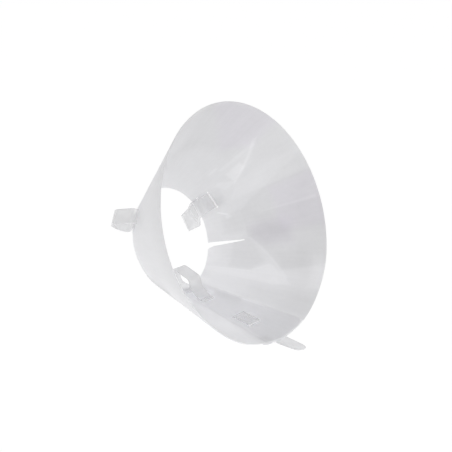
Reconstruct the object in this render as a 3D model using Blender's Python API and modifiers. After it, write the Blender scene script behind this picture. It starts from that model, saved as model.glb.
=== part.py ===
"""Elizabethan collar: a cone rolled from one die-cut plastic sheet, with its closing strap and two
strap loops that a pet's own collar is threaded through. Metres, +Z up, lying on its side.

Everything is drawn in the cone's own frame first: Z along the axis from neck to mouth, angles
about Z from the closing strap, whose outer face the collar lies on. A point near the sheet is
(angle, s, n): s runs up the sheet from the neck edge and n stands on it, positive inwards.
"""

import math

import bmesh
import bpy
from mathutils import Euler, Vector

# The cone
MOUTH_DIAMETER = 0.230
NECK_DIAMETER = 0.1066
CONE_HEIGHT = 0.1097
SHEET_THICKNESS = 0.0008
CORNER_RADIUS = 0.007
CLEARANCE = 0.0003

# The seam, where the sheet laps over itself
SEAM_START = math.radians(-11.5)
SEAM_OVERLAP = math.radians(31.0)
SEAM_EASE = math.radians(60.0)
CORNER_SPRING = 0.0025
CORNER_SPRING_ANGLE = math.radians(5.5)

# The stiff double layer flattens the mouth a little, most between the two inner angles
FLAT_DEPTH = 0.0022
FLAT_RISE = (math.radians(-32.5), math.radians(-7.5))
FLAT_FALL = (math.radians(32.5), math.radians(62.5))

# The side loop draws the neck edge in a little, most between the two inner angles
PULL_DEPTH = 0.0019
PULL_RISE = (math.radians(182.5), math.radians(217.5))
PULL_FALL = (math.radians(282.5), math.radians(322.5))

# The relief slit that opens the neck edge
SLIT_ANGLE = math.radians(73.1)
SLIT_LENGTH = 0.0400
SLIT_WIDTH = 0.0050
SLIT_TIP_WIDTH = 0.0010
SLIT_MOUTH_WIDTH = 0.0072
SLIT_FLARE = 0.0080
SLIT_OVERRUN = 0.0020

# The straps and their slots
STRAP_THICKNESS = 0.0009
STRAP_TIP_RADIUS = 0.0075
BEND_RADIUS = 0.0010
TAIL_BEND_RADIUS = 0.0200
SLOT_END_CLEARANCE = 0.0015
SLOT_END_WIDTH = 0.0008
HEAD_OVERHANG = 0.0020
HEAD_LENGTH = 0.0050
HEAD_CORNER_RADIUS = 0.0015
HEAD_NECK = 0.0030
ANCHOR_SLOT = 0.0065
TUCK_LENGTH = 0.0120

CLOSING_ANGLE = 0.0
CLOSING_WIDTH = 0.0170
CLOSING_FIRST_SLOT = 0.0315
CLOSING_MIDDLE_SLOT = 0.0704
CLOSING_LAST_SLOT = 0.0913
CLOSING_TAIL = 0.0255
CLOSING_TAIL_BEND = 0.0020
# How far the free end curls up at its tip, on either edge
CLOSING_TAIL_CURLS = (0.0004, 0.0026)
# Corners of the strap's loop at the neck, as (s, n, radius)
CLOSING_LOOP = (
    (-0.0175, None, 0.0085),
    (-0.0135, 0.0220, 0.0045),
    (0.0105, 0.0175, 0.0045),
    (0.0150, 0.0085, 0.0090),
    (0.0270, None, 0.0080),
)

UPPER_ANGLE = math.radians(116.0)
UPPER_WIDTH = 0.0178
UPPER_SLOT = 0.0201
# The strap twists in its creased loop, so that its two edges take different lines
UPPER_LOOP_HIGH = (
    (-0.0018, None, 0.0012),
    (-0.0066, 0.0140, 0.0200),
    (-0.0122, 0.0257, 0.0008),
    (-0.0123, 0.0274, 0.0008),
    (0.0016, 0.0284, 0.0012),
    (-0.0006, 0.0096, 0.0015),
    (0.0125, None, 0.0100),
)
UPPER_LOOP_LOW = (
    (-0.0018, None, 0.0012),
    (-0.0034, 0.0136, 0.0060),
    (-0.0110, 0.0229, 0.0008),
    (-0.0101, 0.0243, 0.0008),
    (-0.0020, 0.0176, 0.0012),
    (0.0006, 0.0052, 0.0015),
    (0.0125, None, 0.0100),
)

SIDE_ANGLE = math.radians(239.1)
SIDE_WIDTH = 0.0150
SIDE_SLOT = 0.0207
SIDE_LOOP_HIGH = (
    (-0.0098, None, 0.0070),
    (-0.0080, -0.0130, 0.0090),
    (0.0045, -0.0232, 0.0080),
)
SIDE_LOOP_LOW = (
    (-0.0098, None, 0.0070),
    (-0.0080, -0.0136, 0.0090),
    (0.0030, -0.0245, 0.0080),
)
SIDE_SLOT_APPROACH = 0.0045

# How finely the forms are drawn
COLUMN_ANGLE = math.radians(3.0)
SHEET_ROWS = 6
BEND_SEGMENTS = 5
ROW_SPACING = 0.008
STRAP_COLUMNS = 6
SLOT_COLUMNS = 12
CUT_DEPTH = 0.008
SLIT_ROWS = 12
MOST_OF_A_RUN = 0.49

# What follows from the sizes above
NECK_RADIUS = NECK_DIAMETER / 2
MOUTH_RADIUS = MOUTH_DIAMETER / 2
LAYER_PITCH = SHEET_THICKNESS + CLEARANCE
SLOT_WIDTH = 2 * BEND_RADIUS
HALF_SLOPE = math.atan2(MOUTH_RADIUS - NECK_RADIUS, CONE_HEIGHT)
CLOSING_SLOTS = (ANCHOR_SLOT, CLOSING_FIRST_SLOT, CLOSING_MIDDLE_SLOT, CLOSING_LAST_SLOT)
INSIDE, OUTSIDE = 1, -1

WHITE_PP = (0.80, 0.80, 0.81, 1.0)
STRAP_PP = (0.83, 0.83, 0.84, 1.0)


def ease(start, end, value):
    """0 before start, 1 after end, with a smooth rise between them."""
    share = min(max((value - start) / (end - start), 0.0), 1.0)
    return share * share * (3 - 2 * share)


def bump(rise, fall, value):
    return ease(*rise, value) * (1 - ease(*fall, value))


def wrapped(angle):
    """The same direction as an angle within half a turn of zero."""
    return (angle + math.pi) % (2 * math.pi) - math.pi


def generator(angle):
    """The neck point, the direction up the sheet, its inward normal and the sheet's length there."""
    outward = Vector((math.cos(angle), math.sin(angle), 0.0))
    flat = FLAT_DEPTH * bump(FLAT_RISE, FLAT_FALL, wrapped(angle))
    pull = PULL_DEPTH * bump(PULL_RISE, PULL_FALL, angle % (2 * math.pi))
    neck = outward * (NECK_RADIUS - pull)
    mouth = outward * (MOUTH_RADIUS - flat) + Vector((0, 0, CONE_HEIGHT))
    along = (mouth - neck).normalized()
    inward = Vector((0, 0, 1)) * along.dot(outward) - outward * along.z
    return neck, along, inward, (mouth - neck).length


def on_cone(angle, s, n):
    neck, along, inward, _ = generator(angle)
    return neck + along * s + inward * n


def layer_offset(turn, share):
    """How far the sheet's middle lies inside the mean cone, at a turn from the outer edge on.

    The outer layer's free corner, at the mouth where share is 1, springs outwards a little.
    """
    lap_end = SEAM_START + SEAM_OVERLAP
    last_lap = SEAM_START + 2 * math.pi
    outer = 1 - ease(lap_end, lap_end + SEAM_EASE, turn)
    inner = ease(last_lap - SEAM_EASE, last_lap, turn)
    free = 1 - ease(SEAM_START, SEAM_START + CORNER_SPRING_ANGLE, turn)
    return (inner - outer) * LAYER_PITCH / 2 - CORNER_SPRING * free * ease(0.5, 1.0, share)


def collection(name):
    group = bpy.data.collections.new(name)
    bpy.context.scene.collection.children.link(group)
    return group


def material(name, colour, roughness):
    made = bpy.data.materials.new(name)
    made.use_nodes = True
    shader = made.node_tree.nodes["Principled BSDF"]
    shader.inputs["Base Color"].default_value = colour
    shader.inputs["Roughness"].default_value = roughness
    shader.inputs["Metallic"].default_value = 0.0
    return made


def mapped_grid(name, group, across, up, place):
    """A grid of across by up cells, with each corner put where place(column, row) says."""
    form = bmesh.new()
    bmesh.ops.create_grid(form, x_segments=across, y_segments=up, size=1.0)
    for vertex in form.verts:
        column = round((vertex.co.x + 1) / 2 * across)
        row = round((vertex.co.y + 1) / 2 * up)
        vertex.co = place(column, row)
    mesh = bpy.data.meshes.new(name)
    form.to_mesh(mesh)
    form.free()
    item = bpy.data.objects.new(name, mesh)
    group.objects.link(item)
    return item


def thicken(item, thickness):
    shell = item.modifiers.new("thickness", "SOLIDIFY")
    shell.thickness = thickness
    shell.offset = 0.0
    shell.use_even_offset = True


def corner_inset(distance, radius):
    """How far a rounded corner holds an edge back, at a distance from the corner's side."""
    if distance >= radius:
        return 0.0
    return radius - math.sqrt(radius**2 - (radius - distance) ** 2)


def sheet_turns():
    """The turns at which the sheet has a column: even ones, with more where its corners round."""
    span = 2 * math.pi + SEAM_OVERLAP
    mean_radius = (NECK_RADIUS + MOUTH_RADIUS) / 2
    corner = [CORNER_RADIUS / mean_radius * (1 - math.cos(math.radians(a))) for a in range(0, 90, 15)]
    first = 2 * CORNER_RADIUS / NECK_RADIUS
    count = round((span - 2 * first) / COLUMN_ANGLE)
    middle = [first + (span - 2 * first) * i / count for i in range(count + 1)]
    tail = [span - turn for turn in reversed(corner)]
    return [SEAM_START + turn for turn in corner + middle + tail]


def slot_cutter(name, group, angle, s, width):
    """A slot for a strap, with blunt rounded ends and straight on the flat blank, through it all."""
    from_apex = NECK_RADIUS / math.sin(HALF_SLOPE) + s
    length = slot_length(width)

    def place(column, row):
        along = (column / SLOT_COLUMNS * 2 - 1) * length / 2
        past_end = max(abs(along) - (length - SLOT_WIDTH) / 2, 0.0)
        half = max(math.sqrt(max((SLOT_WIDTH / 2) ** 2 - past_end**2, 0.0)), SLOT_END_WIDTH / 2)
        flat_turn = math.atan2(along, from_apex)
        bow = from_apex / math.cos(flat_turn) - from_apex
        turn = angle + flat_turn / math.sin(HALF_SLOPE)
        return on_cone(turn, s + bow + (row - 1) * half, 0.0)

    cutter = mapped_grid(name, group, SLOT_COLUMNS, 2, place)
    thicken(cutter, CUT_DEPTH)


def slit_cutter(name, group):
    """A slit down from the neck edge that tapers to its tip, flared to one side at the edge."""

    def place(column, row):
        s = SLIT_LENGTH - (SLIT_LENGTH + SLIT_OVERRUN) * row / SLIT_ROWS
        opening = max(1 - max(s, 0.0) / SLIT_FLARE, 0.0) ** 2
        width = SLIT_TIP_WIDTH + (SLIT_WIDTH - SLIT_TIP_WIDTH) * (1 - s / SLIT_LENGTH)
        width += (SLIT_MOUTH_WIDTH - SLIT_WIDTH) * opening
        radius = NECK_RADIUS + s * math.sin(HALF_SLOPE)
        return on_cone(SLIT_ANGLE - width * (1 - column) / radius, s, 0.0)

    cutter = mapped_grid(name, group, 1, SLIT_ROWS, place)
    thicken(cutter, CUT_DEPTH)


def cone_sheet(parts, cutters):
    turns = sheet_turns()

    def place(column, row):
        turn = turns[column]
        to_edge = min(turn - turns[0], turns[-1] - turn)
        length = generator(turn)[3]
        low = corner_inset(to_edge * NECK_RADIUS, CORNER_RADIUS)
        high = length - corner_inset(to_edge * MOUTH_RADIUS, CORNER_RADIUS)
        share = row / SHEET_ROWS
        return on_cone(turn, low + (high - low) * share, layer_offset(turn, share))

    sheet = mapped_grid("cone_sheet", parts, len(turns) - 1, SHEET_ROWS, place)
    thicken(sheet, SHEET_THICKNESS)
    slots = (
        ("closing", CLOSING_ANGLE, CLOSING_WIDTH, CLOSING_SLOTS),
        ("upper", UPPER_ANGLE, UPPER_WIDTH, (ANCHOR_SLOT, UPPER_SLOT)),
        ("side", SIDE_ANGLE, SIDE_WIDTH, (ANCHOR_SLOT, SIDE_SLOT)),
    )
    for name, angle, width, places in slots:
        for number, s in enumerate(places):
            slot_cutter(f"{name}_slot_{number}", cutters, angle, s, width)
    slit_cutter("relief_slit", cutters)
    cut = sheet.modifiers.new("slots", "BOOLEAN")
    cut.operation = "DIFFERENCE"
    cut.operand_type = "COLLECTION"
    cut.collection = cutters
    return sheet


def rounded_line(corners):
    """Points of a line through (s, n, radius) corners, each inner one turned into an arc."""
    places = [Vector(corner[:2]) for corner in corners]
    points = [places[0]]
    for before, here, after, corner in zip(places, places[1:], places[2:], corners[1:]):
        back = (before - here).normalized()
        on = (after - here).normalized()
        half_turn = (math.pi - back.angle(on)) / 2
        reach = corner[2] * math.tan(half_turn)
        reach = min(reach, *(MOST_OF_A_RUN * (end - here).length for end in (before, after)))
        radius = reach / math.tan(half_turn)
        centre = here + (back + on).normalized() * (radius / math.cos(half_turn))
        first = here + back * reach - centre
        last = here + on * reach - centre
        for step in range(BEND_SEGMENTS + 1):
            share = step / BEND_SEGMENTS
            angle = 2 * half_turn
            weights = math.sin((1 - share) * angle), math.sin(share * angle)
            points.append(centre + (first * weights[0] + last * weights[1]) / math.sin(angle))
    points.append(places[-1])
    return points


def with_rows(low, high, end_rows):
    """The two edge lines as pairs, with rows added on long stretches and near both ends."""
    pairs = list(zip(low, high))
    middle = [(a + b) / 2 for a, b in pairs]
    reach = [0.0]
    for before, here in zip(middle, middle[1:]):
        reach.append(reach[-1] + (here - before).length)
    wanted = set(reach)
    for start, end in zip(reach, reach[1:]):
        extra = int((end - start) / ROW_SPACING)
        wanted.update(start + (end - start) * i / (extra + 1) for i in range(1, extra + 1))
    wanted.update(end_rows)
    wanted.update(reach[-1] - tip for tip in tip_rows())
    rows = []
    for place in sorted(wanted):
        if rows and place - rows[-1][0] < 1e-5:
            continue
        index = max(i for i in range(len(reach) - 1) if reach[i] <= place + 1e-9)
        share = (place - reach[index]) / (reach[index + 1] - reach[index])
        edges = [line[index].lerp(line[index + 1], share) for line in (low, high)]
        rows.append((place, *edges))
    return rows, reach[-1]


def tip_rows():
    return [STRAP_TIP_RADIUS * (1 - math.cos(math.radians(a))) for a in range(0, 91, 18)]


def head_rows():
    corner = [HEAD_CORNER_RADIUS * (1 - math.cos(math.radians(a))) for a in range(0, 91, 30)]
    return corner + [HEAD_LENGTH - HEAD_CORNER_RADIUS / 2, HEAD_LENGTH]


def slot_length(width):
    return width + 2 * SLOT_END_CLEARANCE


def head_width(width):
    return slot_length(width) + 2 * HEAD_OVERHANG


def half_width(width, from_head, from_tip):
    """Half the width of a strap: a wide head at one end, a rounded tip at the other."""
    if from_head < HEAD_LENGTH - 1e-6:
        return head_width(width) / 2 - corner_inset(from_head, HEAD_CORNER_RADIUS)
    return width / 2 - corner_inset(from_tip, STRAP_TIP_RADIUS)


def lying_on(side, s, layers, width):
    """The height n of a flat strap's middle where it lies on one face of one or two layers.

    Inside the cone its two edges touch the hollow face, so its middle stands off a little more.
    """
    height = SHEET_THICKNESS / 2 + (layers - 1) * LAYER_PITCH / 2 + CLEARANCE + STRAP_THICKNESS / 2
    if side == INSIDE:
        radius = (NECK_RADIUS + s * math.sin(HALF_SLOPE)) / math.cos(HALF_SLOPE)
        height += radius - math.sqrt(radius**2 - (width / 2) ** 2)
    return side * height


def strap(name, parts, angle, width, low_corners, high_corners):
    """A flat strip along a line of (s, n, radius) corners at one angle, head first."""
    low = rounded_line(low_corners)
    high = rounded_line(high_corners)
    rows, length = with_rows(low, high, head_rows())
    tangent = Vector((-math.sin(angle), math.cos(angle), 0.0))

    def place(row, column):
        reach, low_edge, high_edge = rows[row]
        across = 1 - 2 * column / STRAP_COLUMNS
        aside = across * half_width(width, reach, length - reach)
        s, n = low_edge.lerp(high_edge, 0.5 - aside / width)
        return on_cone(angle, s, n) + tangent * aside

    strip = mapped_grid(name, parts, len(rows) - 1, STRAP_COLUMNS, place)
    thicken(strip, STRAP_THICKNESS)
    return strip


def anchor(side, layers, width):
    """The wide head on the far face and the bends through the anchor slot, to the loop's face."""
    head_end = ANCHOR_SLOT + HEAD_NECK + HEAD_LENGTH
    far = lying_on(-side, ANCHOR_SLOT, layers, head_width(width))
    near = lying_on(side, 0.0, layers, width)
    return [
        (head_end, far, 0.0),
        (ANCHOR_SLOT, far, BEND_RADIUS),
        (ANCHOR_SLOT, near, BEND_RADIUS),
    ]


def crossing(s, side, layers, width):
    """The two bends that take a strap from one face, through a slot, to the other."""
    return [(s, lying_on(face, s, layers, width), BEND_RADIUS) for face in (side, -side)]


def loop_corners(loop, layers, width):
    """Loop corners, where a height left out is filled in: there the strap lies on the sheet."""
    side = INSIDE if loop[1][1] > 0 else OUTSIDE
    on_sheet = lying_on(side, 0.0, layers, width)
    return [(s, on_sheet if n is None else n, radius) for s, n, radius in loop]


def closing_strap(parts):
    rim = generator(CLOSING_ANGLE)[3]
    on_outside = lying_on(OUTSIDE, rim, 2, CLOSING_WIDTH)
    line = anchor(INSIDE, 2, CLOSING_WIDTH)
    line += loop_corners(CLOSING_LOOP, 2, CLOSING_WIDTH)
    line += crossing(CLOSING_FIRST_SLOT, INSIDE, 2, CLOSING_WIDTH)
    line += crossing(CLOSING_MIDDLE_SLOT, OUTSIDE, 2, CLOSING_WIDTH)
    line += crossing(CLOSING_LAST_SLOT, INSIDE, 2, CLOSING_WIDTH)
    line.append((rim + CLOSING_TAIL_BEND, on_outside, TAIL_BEND_RADIUS))
    low, high = (line + [(rim + CLOSING_TAIL, on_outside + curl, 0.0)] for curl in CLOSING_TAIL_CURLS)
    return strap("closing_strap", parts, CLOSING_ANGLE, CLOSING_WIDTH, low, high)


def upper_loop_strap(parts):
    tip = UPPER_SLOT + TUCK_LENGTH
    start = anchor(INSIDE, 1, UPPER_WIDTH)
    end = crossing(UPPER_SLOT, INSIDE, 1, UPPER_WIDTH)
    end.append((tip, lying_on(OUTSIDE, tip, 1, UPPER_WIDTH), 0.0))
    low, high = (
        start + loop_corners(loop, 1, UPPER_WIDTH) + end for loop in (UPPER_LOOP_LOW, UPPER_LOOP_HIGH)
    )
    return strap("upper_loop_strap", parts, UPPER_ANGLE, UPPER_WIDTH, low, high)


def side_loop_strap(parts):
    tip = SIDE_SLOT + TUCK_LENGTH
    inner = lying_on(INSIDE, SIDE_SLOT, 1, SIDE_WIDTH)
    start = anchor(OUTSIDE, 1, SIDE_WIDTH)
    end = [
        (SIDE_SLOT, -inner - SIDE_SLOT_APPROACH, SIDE_SLOT_APPROACH),
        (SIDE_SLOT, inner, BEND_RADIUS),
        (tip, inner, 0.0),
    ]
    low, high = (
        start + loop_corners(loop, 1, SIDE_WIDTH) + end for loop in (SIDE_LOOP_LOW, SIDE_LOOP_HIGH)
    )
    return strap("side_loop_strap", parts, SIDE_ANGLE, SIDE_WIDTH, low, high)


def world_points(items):
    """Every corner of the finished pieces, in world space."""
    graph = bpy.context.evaluated_depsgraph_get()
    points = []
    for item in items:
        done = item.evaluated_get(graph)
        points += [item.matrix_world @ vertex.co for vertex in done.to_mesh().vertices]
        done.to_mesh_clear()
    return points


def lay_down(axis, pieces):
    """Turns the cone until the closing strap's outer face is level, and stands it on the floor."""
    along = generator(CLOSING_ANGLE)[1]
    slope = math.atan2(math.hypot(along.x, along.y), along.z)
    axis.rotation_euler = Euler((0.0, math.pi / 2 - slope, 0.0))
    bpy.context.view_layer.update()
    points = world_points(pieces)
    low = [min(point[i] for point in points) for i in range(3)]
    high = [max(point[i] for point in points) for i in range(3)]
    axis.location = (-(low[0] + high[0]) / 2, -(low[1] + high[1]) / 2, -low[2])
    bpy.context.view_layer.update()


def main():
    for item in list(bpy.data.objects):
        bpy.data.objects.remove(item, do_unlink=True)
    parts = collection("elizabethan_collar")
    cutters = collection("elizabethan_collar_cutters")
    sheet_look = material("frosted_sheet", WHITE_PP, 0.35)
    strap_look = material("strap_plastic", STRAP_PP, 0.30)
    sheet = cone_sheet(parts, cutters)
    straps = [closing_strap(parts), upper_loop_strap(parts), side_loop_strap(parts)]
    sheet.data.materials.append(sheet_look)
    for strip in straps:
        strip.data.materials.append(strap_look)
    axis = bpy.data.objects.new("cone_axis", None)
    parts.objects.link(axis)
    for cutter in cutters.objects:
        cutter.hide_render = True
        cutter.display_type = "WIRE"
    pieces = [sheet, *straps]
    for item in [*pieces, *cutters.objects]:
        item.parent = axis
        item.data.shade_smooth()
        item.data.set_sharp_from_angle(angle=math.radians(30))
    lay_down(axis, pieces)


main()
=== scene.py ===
"""Looks for an elizabethan collar: a cone rolled from frosted plastic sheet, its closing strap and two
strap loops, on a pale stage. Metres, +Z up.

The collar is drawn in the cone's own frame first: Z along its axis from neck to mouth, angles about Z
from the closing strap. A point near the sheet is (angle, s, n): s runs up the sheet from the neck edge,
and n stands on it, positive inwards. Cone.pose then lays it down where the frame has it.
"""

import math

import bmesh
import bpy
from mathutils import Euler, Matrix, Vector


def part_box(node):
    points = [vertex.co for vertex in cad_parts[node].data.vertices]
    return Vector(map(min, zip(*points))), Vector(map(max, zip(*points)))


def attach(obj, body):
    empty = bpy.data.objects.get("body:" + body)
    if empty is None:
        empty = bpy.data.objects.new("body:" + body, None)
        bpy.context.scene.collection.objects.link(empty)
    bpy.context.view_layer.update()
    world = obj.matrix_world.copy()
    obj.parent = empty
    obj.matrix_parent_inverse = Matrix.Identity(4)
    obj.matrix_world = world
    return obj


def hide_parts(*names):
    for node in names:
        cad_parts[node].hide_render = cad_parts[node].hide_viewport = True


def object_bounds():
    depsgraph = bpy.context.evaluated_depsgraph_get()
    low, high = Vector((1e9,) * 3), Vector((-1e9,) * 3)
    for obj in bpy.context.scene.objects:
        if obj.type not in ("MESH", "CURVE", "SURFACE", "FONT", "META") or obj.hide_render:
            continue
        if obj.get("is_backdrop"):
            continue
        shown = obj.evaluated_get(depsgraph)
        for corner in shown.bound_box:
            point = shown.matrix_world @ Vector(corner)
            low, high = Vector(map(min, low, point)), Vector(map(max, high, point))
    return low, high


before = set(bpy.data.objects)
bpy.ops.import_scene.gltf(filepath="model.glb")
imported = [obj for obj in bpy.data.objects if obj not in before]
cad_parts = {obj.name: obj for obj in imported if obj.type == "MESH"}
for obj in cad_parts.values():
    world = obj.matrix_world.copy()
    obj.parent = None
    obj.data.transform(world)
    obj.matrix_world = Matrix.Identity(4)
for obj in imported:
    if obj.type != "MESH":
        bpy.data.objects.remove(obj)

bl_info = {
    "name": "Elizabethan Collar",
    "version": (1, 0, 0),
    "blender": (4, 5, 0),
    "location": "View3D > Sidebar > Collar",
    "description": "Builds a frosted plastic cone collar with its straps, and a stage to see it on",
    "category": "Add Mesh",
}

BODY = "root"
SHEET_NODE = "cone_sheet"
STRAP_MATERIAL = "strap_plastic_smooth"
SURFACE_MAP = "surface"
FOLD, CLEAR = "fold", "clear"
INSIDE, OUTSIDE = 1, -1
QUARTER_TURN = math.pi / 2
FULL_TURN = 2 * math.pi

# How finely the pieces are meshed: counts of cells, and lengths along the straps
SHEET_COLUMNS, SHEET_ROWS, CORNER_COLUMNS = 420, 64, 10
POSE_COLUMNS = 720
SLOT_COLUMNS, SLIT_ROWS = 24, 40
STRAP_COLUMNS, BEND_SEGMENTS, TIP_SEGMENTS = 12, 10, 10
ROW_SPACING, HEAD_STEP = 0.0015, 0.0002
SMALLEST_STEP, SAME_PLACE, SLIVER = 1e-5, 1e-6, 3e-6
FLOOR_CELLS = 4
# How deep the cutters are, how much of a run one bend may take, from what share of the way up the free
# corner springs off, and how the edges are broken
CUT_DEPTH = 0.008
MOST_OF_A_RUN = 0.49
SPRING_FROM = 0.5
SHEET_EDGE, STRAP_EDGE = 0.00018, 0.00022
EDGE_SEGMENTS = 2
EDGE_ANGLE, SMOOTH_ANGLE = math.radians(50), math.radians(35)

# Where the strap loops turn, as (s, n, radius); a height left out lies on the sheet
CLOSING_LOOP = (
    (-0.0175, None, 0.0085), (-0.0135, 0.022, 0.0062), (0.0105, 0.0175, 0.0045),
    (0.015, 0.0085, 0.009), (0.027, None, 0.008),
)
# The loops whose two edges turn differently: the low edge, then the high one
UPPER_LOOP = (
    (
        (-0.0018, None, 0.0012), (-0.0034, 0.0136, 0.006), (-0.011, 0.0229, 0.0008),
        (-0.0101, 0.0243, 0.0008), (-0.002, 0.0176, 0.0012), (0.0006, 0.0052, 0.0015),
        (0.0125, None, 0.01),
    ),
    (
        (-0.0018, None, 0.0012), (-0.0066, 0.014, 0.02), (-0.0122, 0.0257, 0.0008),
        (-0.0123, 0.0274, 0.0008), (0.0016, 0.0284, 0.0012), (-0.0006, 0.0096, 0.0015),
        (0.0125, None, 0.01),
    ),
)
SIDE_LOOP = (
    ((-0.0098, None, 0.007), (-0.008, -0.0136, 0.009), (0.003, -0.0245, 0.008)),
    ((-0.0098, None, 0.007), (-0.008, -0.013, 0.009), (0.0045, -0.0232, 0.008)),
)

# Light and shade painted into the sheet's colour, darker or brighter: (tone, softness, corners). A
# corner is (turn in degrees from the closing strap, share of the way from neck to mouth). Each mark is
# convex, and its corners go round it counterclockwise.
PAINTED_LIGHT_AND_SHADE = (
    # painted shade over the dent opposite the lap, its core and the fan that runs from it to the rim,
    # crossed by a thin painted light line
    (-0.035, 0.012, (
        (76, 0.345), (97, 0.33), (104, 0.45), (107.5, 0.58), (108, 1.1), (58, 1.1), (50, 0.65),
        (68, 0.43),
    )),
    (-0.06, 0.06, ((74, 0.38), (80, 0.38), (84, 0.48), (83, 0.6), (78, 0.7), (71, 0.7), (69, 0.5))),
    (-0.02, 0.04, ((74, 0.55), (92, 0.4), (92, 1.1), (76, 1.1))),
    (0.03, 0.007, ((91.8, 0.5), (92.6, 0.5), (93.4, 0.97), (91.8, 0.97))),
    (-0.02, 0.05, ((50, 0.62), (62, 0.6), (64, 0.85), (50, 0.85))),
    # painted light on the bright facet beside the dent and along its sharp edges, and painted shade
    # below it
    (0.03, 0.01, ((41, -0.1), (45.5, -0.1), (47, 0.395), (38.5, 0.62), (39.3, 0.3))),
    (0.027, 0.01, ((47, 0.395), (54, 0.55), (41, 0.76), (38.5, 0.62))),
    (0.025, 0.006, ((45.0, 0.03), (46.0, 0.03), (47.2, 0.38), (46.2, 0.38))),
    (0.025, 0.006, ((46.2, 0.385), (47.4, 0.375), (54.0, 0.53), (52.8, 0.55))),
    (0.028, 0.006, ((44, 0.7), (74, 0.352), (75, 0.368), (45, 0.722))),
    (-0.035, 0.03, ((48, 0.2), (73, 0.22), (75, 0.33), (62, 0.45), (56, 0.5), (48, 0.4))),
    # painted light on the band past the dent and in lighter streaks across it, and a painted glare
    # streak and smudge by the upper loop
    (0.022, 0.012, (
        (101, 0.3), (110, 0.3), (119, 0.4), (121, 0.6), (121, 1.1), (108.3, 1.1), (107.8, 0.58),
        (104.5, 0.45),
    )),
    (0.055, 0.01, ((118, 0.37), (121, 0.4), (140, 0.76), (139.5, 0.8), (137.5, 0.76))),
    (0.055, 0.015, ((121, 0.4), (130, 0.38), (132, 0.54), (127, 0.55))),
    (0.025, 0.01, ((134.5, 0.37), (137, 0.37), (139, 0.74), (136, 0.74))),
    (0.035, 0.008, ((138, 0.27), (140.5, 0.27), (141, 0.37), (138.5, 0.37))),
    (0.035, 0.015, ((118, 0.3), (126, 0.24), (128, 0.28), (121, 0.4))),
    (0.06, 0.01, ((93.5, 0.2), (96, 0.19), (97.5, 0.235), (94.5, 0.245))),
    (0.08, 0.005, ((96.6, 0.212), (101.7, 0.132), (102.4, 0.148), (97.4, 0.228))),
    # the lap, where two layers lie together, brightened with painted light, a painted highlight along
    # the inner layer's edge, and patches of painted light and shade around the lap and the closing strap
    (0.08, 0.006, ((-10.9, -0.1), (19.5, -0.1), (19.5, 1.1), (-10.9, 1.1))),
    (0.06, 0.005, ((18.6, 0.2), (19.6, 0.2), (19.6, 0.66), (18.6, 0.66))),
    (-0.06, 0.02, ((-12.5, 0.92), (-6, 0.92), (-6, 1.1), (-12.5, 1.1))),
    (0.028, 0.04, ((-6, 0.27), (6, 0.27), (7, 1.1), (-6, 1.1))),
    (-0.03, 0.03, ((12, -0.1), (21, -0.1), (21, 0.45), (12, 0.45))),
    (0.025, 0.06, ((-70, 0.45), (-14, 0.62), (-14, 1.1), (-70, 1.1))),
    # painted light and shade by the neck and the rim, with painted shade on the outside low beside the
    # lap
    (0.03, 0.05, ((46, -0.1), (68, -0.1), (68, 0.1), (54, 0.1))),
    (0.035, 0.03, ((41, 0.9), (60, 0.9), (60, 1.1), (41, 1.1))),
    (-0.035, 0.06, ((21, 0.45), (36, 0.45), (38, 1.1), (21, 1.1))),
    (-0.035, 0.08, ((142, 0.52), (190, 0.47), (190, 1.1), (142, 1.1))),
    (-0.035, 0.03, ((80, 0.14), (97, 0.16), (99, 0.33), (80, 0.34))),
    # the upper loop's painted shadow on the wall beside it
    (-0.03, 0.03, ((107, 0.13), (116, 0.13), (116, 0.24), (107, 0.24))),
    (-0.07, 0.06, ((-60, -0.1), (-24, -0.1), (-30, 0.45), (-60, 0.45))),
    (-0.06, 0.04, ((-38, -0.1), (-20, -0.1), (-22, 0.3), (-38, 0.42))),
    (0.05, 0.04, ((-8, -0.1), (15, -0.1), (15, 0.2), (-8, 0.2))),
)
# Where the sheet is pressed in
DENT_SOFTNESS = 0.09
DENT = ((76, 0.4), (98, 0.4), (104, 0.6), (100, 0.92), (66, 0.92), (56, 0.66), (68, 0.47))
# Where the sheet looks faintly violet: (share, softness, corners), as above
TINTS = (
    (0.6, 0.04, ((77, 0.62), (84, 0.62), (106, 0.55), (107, 1.1), (77, 1.1))),
    (0.5, 0.06, ((72, 0.4), (84, 0.38), (86, 0.6), (84, 0.72), (68, 0.72), (68, 0.5))),
    (0.6, 0.05, ((152, 0.5), (160, 0.62), (182, 0.85), (182, 1.0), (140, 1.0), (137, 0.7))),
)
# A degree of turn as a share of the sheet's length, and the lowest turn that the marks reach
TURN_SCALE = 0.012
LOWEST_MARK = math.radians(-75.0)

# The frosted sheet's tone at its darkest, and how fine and how deep its unevenness is
SHEET_LEVEL = 0.93
GRAIN_SCALE, FLECK_SCALE, CLOUD_SCALE = 1800.0, 240.0, 18.0
GRAIN_DEPTH, FLECK_DEPTH, CLOUD_DEPTH, STREAK_DEPTH = 0.02, 0.04, 0.03, 0.05
STREAKS_ROUND, STREAKS_UP, STREAK_DETAIL = 40, 3, 3.0
GRAIN_STRENGTH, GRAIN_HEIGHT = 0.15, 0.0001
# Painted light towards the neck and painted shade towards the rim, as (from, to, tone), and how the tone
# changes along the cut edges
NECK_LIGHT_RIM_SHADE = ((0.5, 0.0, 0.025), (0.55, 1.0, -0.04))
CUT_EDGE, CUT_TONE = 0.010, 0.03
VIOLET_LESS_GREEN, VIOLET_MORE_BLUE = 0.016, 0.012

# The straps' tone, the painted highlight along sharp folds and the painted shade along side edges, and
# how folds and side edges take clearness away
STRAP_LEVEL = 0.94
STRAP_CLOUD_SCALE, STRAP_CLOUD_DEPTH = 60.0, 0.06
FOLD_HIGHLIGHT, FOLD_DULLING = 0.03, 0.5
STRAP_RIM, STRAP_RIM_SHADE, STRAP_RIM_DULLING = (0.90, 0.98), -0.04, 0.2
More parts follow.
